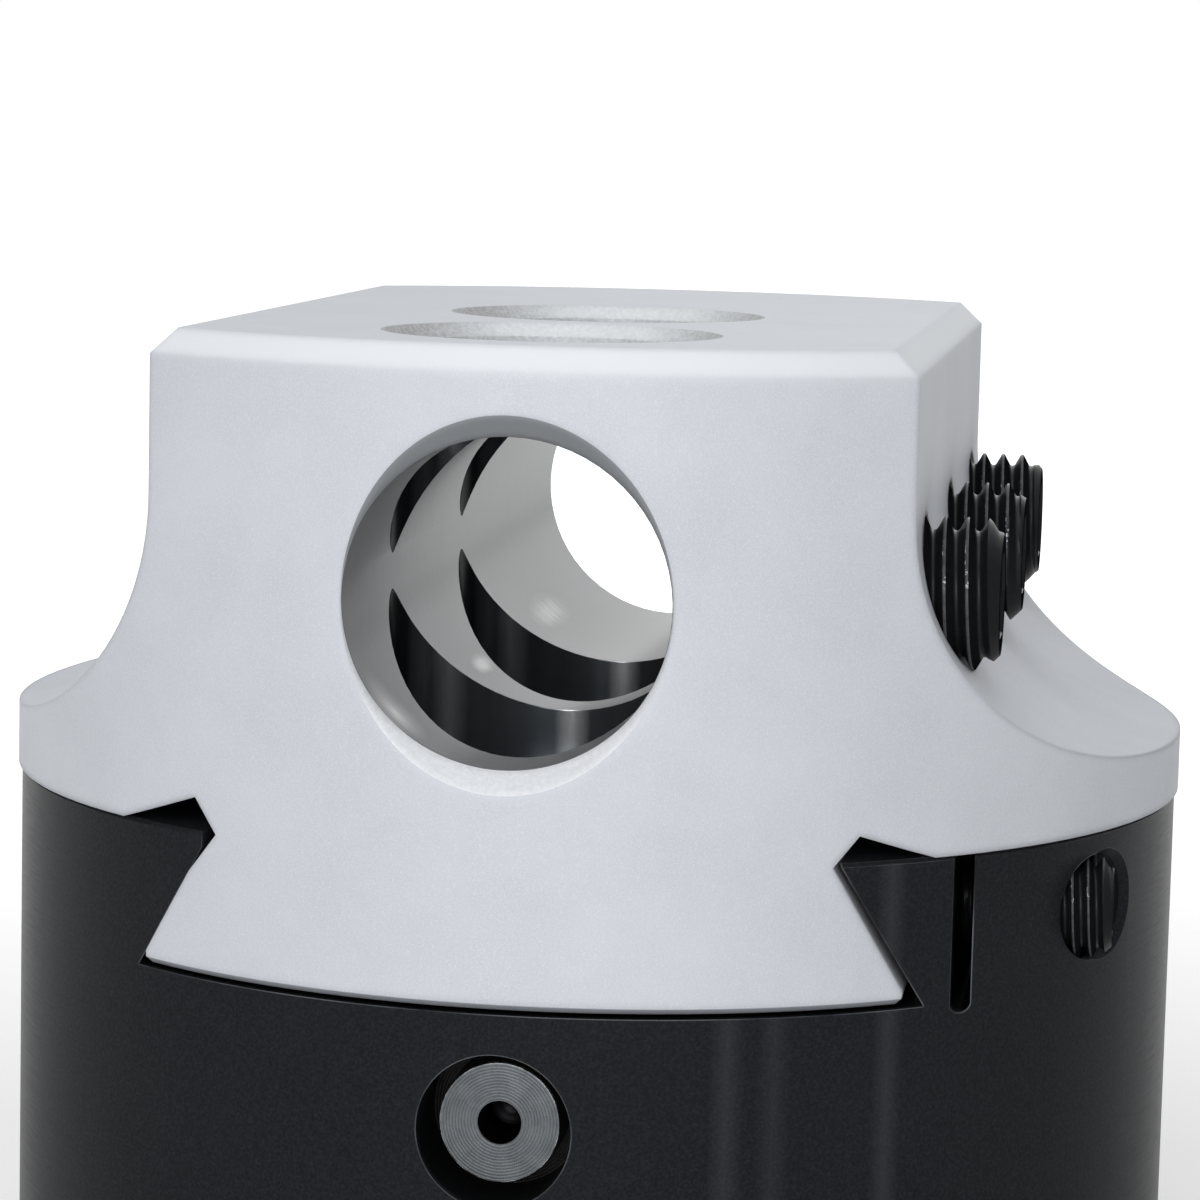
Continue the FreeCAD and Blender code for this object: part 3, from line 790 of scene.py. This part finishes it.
def make_set_screw(node_name, pitch, socket_width, start, material):
    """A set screw with real threads and a hexagon socket in its outer end, in place of its CAD node."""
    low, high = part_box(node_name)
    centre = (low + high) / 2
    radius = (high.y - low.y) / 2
    depth = THREAD_DEPTH * pitch
    end = start + high.x - low.x
    end_radius = radius - SCREW_END_FALL * depth
    rows = [
        *ring_rows([(start, end_radius * SCREW_FLAT_SHARE)], SCREW_SEGMENTS),
        *thread_rows(start, end, radius, pitch, SCREW_SEGMENTS, end_radius),
        *socket_rows(end, socket_width, socket_width * SOCKET_LEAD, SCREW_SEGMENTS),
    ]
    to_world = along_x(low.x - start, centre.y, centre.z)
    crest_radius = radius - (1 - CREST_SHARE) * depth
    piece = turned_mesh(f"{node_name}_threaded", rows, to_world, crest_radius)
    finish_piece(piece, material, node_name, node_name, node_name)


def make_lead_screw(material):
    """The lead screw with its left-hand thread, turned tail, collar, and hub with key notch and socket."""
    count = LEAD_SCREW_SEGMENTS
    depth = THREAD_DEPTH * LEAD_SCREW_PITCH
    root = SHAFT_RADIUS - depth - ROOT_GAP
    thread_start, thread_end = LEAD_THREAD
    hole_floor = TAIL_END + CENTRE_HOLE_DEPTH
    tail = [
        (hole_floor + CENTRE_HOLE_RADIUS / 2, CENTRE_HOLE_RADIUS / 10),
        (hole_floor, CENTRE_HOLE_RADIUS),
        (TAIL_END + MOUTH_BREAK, CENTRE_HOLE_RADIUS),
        (TAIL_END, CENTRE_HOLE_RADIUS + MOUTH_BREAK),
        (TAIL_END, TAIL_RADIUS - EDGE_BREAK),
        (TAIL_END + EDGE_BREAK, TAIL_RADIUS),
        (thread_start, TAIL_RADIUS),
    ]
    shaft = [
        (thread_end + depth, root),
        (thread_end + 2 * depth, SHAFT_RADIUS),
        (COLLAR[0], SHAFT_RADIUS),
        (COLLAR[0], COLLAR_RADIUS),
        (COLLAR[1], COLLAR_RADIUS),
        (COLLAR[1], SHAFT_RADIUS),
        (HUB_START, SHAFT_RADIUS),
        (HUB_START, HUB_RADIUS),
        (KEY_HOLE_START, HUB_RADIUS),
    ]
    notched = [
        (KEY_HOLE_START, HUB_RADIUS),
        (DIAL_FACE - EDGE_BREAK, HUB_RADIUS),
        (DIAL_FACE, HUB_RADIUS - EDGE_BREAK),
    ]
    rows = [
        *ring_rows(tail, count),
        *thread_rows(thread_start, thread_end, SHAFT_RADIUS, LEAD_SCREW_PITCH, count, root, hand=-1),
        *ring_rows(shaft, count),
        *[key_hole_row(place, radius, count) for place, radius in notched],
        *socket_rows(DIAL_FACE, LEAD_SOCKET, MOUTH_BREAK, count),
    ]
    piece = turned_mesh("lead_screw_threaded", rows, along_y(0, 0, LEAD_Z))
    finish_piece(piece, material, "feed_screw", "lead_screw", "lead_screw")


def make_hole_threads(name, to_world, start, ends, radius, pitch, depth, material):
    """A thin sleeve with the thread of a hole on its inside, against the hole's wall."""
    inner_radius = radius - HOLE_THREAD_SKIN
    outer_radius = radius - HOLE_THREAD_SKIN / 2
    rows = inner_thread_rows(start, ends, inner_radius, pitch, depth)
    rows.append([(end, outer_radius) for end in ends])
    rows.append([(start, outer_radius) for _ in ends])
    piece = turned_mesh(name, rows, to_world, closed=True)
    finish_piece(piece, material, "head_body", "body")


def make_gib_hole_threads(side, hole_y, material):
    """The thread in a gib screw's hole, up to the sink or to where it breaks out of the body's side."""
    start, sink = GIB_HOLE_MOUTH
    ends = []
    for step in range(SCREW_SEGMENTS):
        wall_y = hole_y + GIB_HOLE_RADIUS * math.cos(step / SCREW_SEGMENTS * math.tau)
        body_side = math.sqrt(body_high.x ** 2 - wall_y ** 2) - GIB_HOLE_SETBACK
        ends.append(min(sink, body_side))
    hole = (start, ends, GIB_HOLE_RADIUS, GIB_SCREW_PITCH, GIB_HOLE_RIDGES)
    make_hole_threads(f"{side}_gib_hole_threads", along_x(0, hole_y, GIB_SCREW_Z), *hole, material)


def make_arbor_socket_threads(material):
    """The thread of the arbor socket in the foot."""
    start, end = ARBOR_THREAD
    hole = (start, [end] * SOCKET_SEGMENTS, ARBOR_SOCKET_RADIUS, ARBOR_PITCH, THREAD_DEPTH * ARBOR_PITCH)
    make_hole_threads("arbor_socket_threads", along_z(0, 0, 0), *hole, material)


# The dial


def make_o_ring(material):
    """The O-ring with its round section."""
    steps = []
    for step in range(O_RING_SECTION_POINTS):
        angle = step / O_RING_SECTION_POINTS * math.tau
        place = O_RING_Y + O_RING_SECTION_RADIUS * math.sin(angle)
        steps.append((place, O_RING_RADIUS + O_RING_SECTION_RADIUS * math.cos(angle)))
    rows = ring_rows(steps, SCREW_SEGMENTS)
    piece = turned_mesh("dial_o_ring_round", rows, along_y(0, 0, LEAD_Z), closed=True)
    finish_piece(piece, material, "feed_screw", "dial_o_ring", "dial_o_ring")


def bars_mesh(name, bars):
    """An object of thin bars, each given by its two end points, the way across and the way out."""
    points = []
    faces = []
    for start, end, across, out in bars:
        first = len(points)
        for end_point in (start, end):
            for side, height in ((-1, -1), (1, -1), (1, 1), (-1, 1)):
                points.append(end_point + across * (side * MARK_WIDTH / 2) + out * (height * MARK_LIFT))
        corners = ((0, 1, 2, 3), (7, 6, 5, 4), (0, 4, 5, 1), (1, 5, 6, 2), (2, 6, 7, 3), (3, 7, 4, 0))
        faces += [tuple(first + corner for corner in face) for face in corners]
    mesh = bpy.data.meshes.new(name)
    mesh.from_pydata(points, [], faces)
    return cleaned(name, mesh)


def dial_angle(reading):
    """Where a reading stands on the dial at rest, round from the top."""
    return (reading - DIAL_TOP_READING) / DIAL_DIVISIONS * math.tau


def make_dial_marks(material):
    """The lines on the dial's bevel, with every fifth one longer."""
    bars = []
    for division in range(DIAL_DIVISIONS):
        angle = dial_angle(division)
        outwards = Vector((math.sin(angle), 0, math.cos(angle)))
        across = Vector((math.cos(angle), 0, -math.sin(angle)))
        normal = (outwards + Vector((0, 1, 0))).normalized()
        is_long = division % DIAL_LONG_LINE_STEP == 0
        ends = []
        for share in (LONG_LINE_START if is_long else SHORT_LINE_START, DIAL_LINE_END):
            radius = DIAL_RADIUS - DIAL_BEVEL * (1 - share)
            ends.append(Vector((0, DIAL_FACE - DIAL_BEVEL * share, LEAD_Z)) + outwards * radius)
        bars.append((*ends, across, normal))
    finish_piece(bars_mesh("dial_lines", bars), material, "feed_screw", "dial")


def figure_mesh(text):
    """The mesh of a small raised figure, centred on the origin."""
    curve = bpy.data.curves.new("figure", "FONT")
    curve.body = text
    curve.size = FIGURE_HEIGHT
    curve.align_x = "CENTER"
    curve.align_y = "CENTER"
    curve.extrude = MARK_LIFT
    writing = linked("figure", curve)
    shown = writing.evaluated_get(bpy.context.evaluated_depsgraph_get())
    mesh = bpy.data.meshes.new_from_object(shown)
    bpy.data.objects.remove(writing)
    return mesh


def make_dial_figures(material):
    """The figures on the dial's face, one for every ten lines."""
    for figure in range(0, DIAL_DIVISIONS, DIAL_FIGURE_STEP):
        angle = dial_angle(figure)
        up = Vector((math.sin(angle), 0, math.cos(angle)))
        right = Vector((-math.cos(angle), 0, math.sin(angle)))
        centre = Vector((0, DIAL_FACE, LEAD_Z)) + up * FIGURE_RADIUS
        turn = Matrix((right, up, Vector((0, 1, 0)))).transposed().to_4x4()
        mesh = figure_mesh(str(figure))
        mesh.transform(Matrix.Translation(centre) @ turn)
        finish_piece(cleaned(f"dial_figure_{figure}", mesh), material, "feed_screw", "dial")


def make_index_line(material):
    """The line on the body below the dial that the dial is read against."""
    start = Vector((0, -body_low.y, LEAD_Z - DIAL_RADIUS - INDEX_LINE_GAP))
    end = start - Vector((0, 0, INDEX_LINE_LENGTH))
    bar = (start, end, Vector((INDEX_LINE_BREADTH, 0, 0)), Vector((0, 1, 0)))
    finish_piece(bars_mesh("index_line", [bar]), material, "head_body", "body")


# Stage


def make_camera():
    """The camera at the photograph's viewing angle."""
    sin_yaw, cos_yaw = math.sin(CAMERA_YAW), math.cos(CAMERA_YAW)
    sin_pitch, cos_pitch = math.sin(CAMERA_PITCH), math.cos(CAMERA_PITCH)
    forward = Vector((-sin_yaw * cos_pitch, cos_yaw * cos_pitch, -sin_pitch))
    level = Vector((cos_yaw, sin_yaw, 0))
    down = forward.cross(level)
    right = math.cos(CAMERA_ROLL) * level + math.sin(CAMERA_ROLL) * down
    up = math.sin(CAMERA_ROLL) * level - math.cos(CAMERA_ROLL) * down
    turn = Matrix((right, up, -forward)).transposed().to_4x4()
    data = bpy.data.cameras.new("camera")
    data.sensor_width = SENSOR_WIDTH
    data.lens = SENSOR_WIDTH * CAMERA_FOCAL_SHARE
    data.shift_x, data.shift_y = CAMERA_SHIFT
    data.clip_start, data.clip_end = CAMERA_CLIP
    camera = linked("camera", data)
    camera.matrix_world = Matrix.Translation(CAMERA_PLACE) @ turn
    bpy.context.scene.camera = camera


def make_floor():
    """A pale floor that keeps the object's shadow and runs out to plain white."""
    sides = ((-1, -1), (1, -1), (1, 1), (-1, 1))
    corners = [(FLOOR_HALF_SIZE * x_side, FLOOR_HALF_SIZE * y_side, 0) for x_side, y_side in sides]
    mesh = bpy.data.meshes.new("floor")
    mesh.from_pydata(corners, [], [(0, 1, 2, 3)])
    floor = linked("floor", mesh)
    material, tree, shader = new_material("floor_white", (0.8, 0.8, 0.8, 1), 0.0, 0.9, 0.0)
    shader.inputs["Emission Color"].default_value = (1, 1, 1, 1)
    x, y, z = axes_of(tree, place_on_part(tree))
    glow = spread(tree, distance(tree, x, y), *FLOOR_GLOW_REACH, FLOOR_GLOW_NEAR, 1.0)
    tree.links.new(product(tree, seen_plainly(tree), glow), shader.inputs["Emission Strength"])
    mesh.materials.append(material)


def make_world():
    """A plain pale surround that lights more from the left, and looks white to the camera and in gloss."""
    world = bpy.data.worlds.new("studio")
    bpy.context.scene.world = world
    world.use_nodes = True
    tree = world.node_tree
    background = tree.nodes["Background"]
    background.inputs["Color"].default_value = (1, 1, 1, 1)
    x, y, z = axes_of(tree, tree.nodes.new("ShaderNodeTexCoord").outputs["Generated"])
    light = spread(tree, x, -1.0, 1.0, WORLD_LIGHT_LEFT, WORLD_LIGHT_RIGHT)
    tree.links.new(blend_values(tree, seen_plainly(tree), light, 1.0), background.inputs["Strength"])


def make_lamps():
    """Soft square lamps that all look at the object's middle."""
    for name, place, side, power in LAMPS:
        data = bpy.data.lights.new(name, "AREA")
        data.shape = "SQUARE"
        data.size = side
        data.energy = power
        turn = (Vector(LAMP_AIM) - Vector(place)).to_track_quat("-Z", "Y").to_matrix().to_4x4()
        linked(name, data).matrix_world = Matrix.Translation(place) @ turn


bpy.context.scene.view_settings.view_transform = "Standard"
make_camera()
make_world()
make_floor()
make_lamps()

black_screw = screw_material()
black_body = body_material()
steel = turned_material("turned_steel", srgb(66, 70, 73), srgb(108, 112, 115))
bronze = turned_material("turned_bronze", srgb(160, 118, 62), srgb(196, 152, 92))
# The tail bush's bronze is darkened as painted shade, deep in the body's hole
bronze_in_painted_shade = turned_material("bronze_in_painted_shade", srgb(22, 22, 22), srgb(44, 43, 42))
chrome = turned_material("dial_satin_chrome", srgb(176, 179, 184), srgb(200, 203, 207))
black_paint = paint_material("line_filler", (0.01, 0.01, 0.011, 1))
white_paint = paint_material("index_filler", (0.6, 0.6, 0.58, 1))
rubber = rubber_material()
cad_finishes = {
    "body": black_body,
    "tool_slide": slide_material(),
    "lead_screw": steel,
    "feed_nut": bronze,
    "feed_nut_screw": black_screw,
    "tail_bush": bronze_in_painted_shade,
    "rear_bush": bronze,
    "thrust_washer": steel,
    "bearing_nut": steel,
    "dial": chrome,
    "dial_key_screw": black_screw,
    "dial_o_ring": rubber,
}
for node_name, finish in cad_finishes.items():
    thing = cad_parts[node_name]
    thing.data.materials.clear()
    thing.data.materials.append(finish)

for node_name, start in BAR_SCREW_STARTS.items():
    make_set_screw(node_name, BAR_SCREW_PITCH, BAR_SCREW_SOCKET, start, black_screw)
for node_name in ("front_gib_screw", "rear_gib_screw"):
    make_set_screw(node_name, GIB_SCREW_PITCH, GIB_SCREW_SOCKET, GIB_SCREW_START, black_screw)
make_lead_screw(steel)
make_o_ring(rubber)
make_dial_marks(black_paint)
make_dial_figures(black_paint)
make_index_line(white_paint)
for side, hole_y in GIB_SCREW_PLACES.items():
    make_gib_hole_threads(side, hole_y, black_body)
make_arbor_socket_threads(black_body)
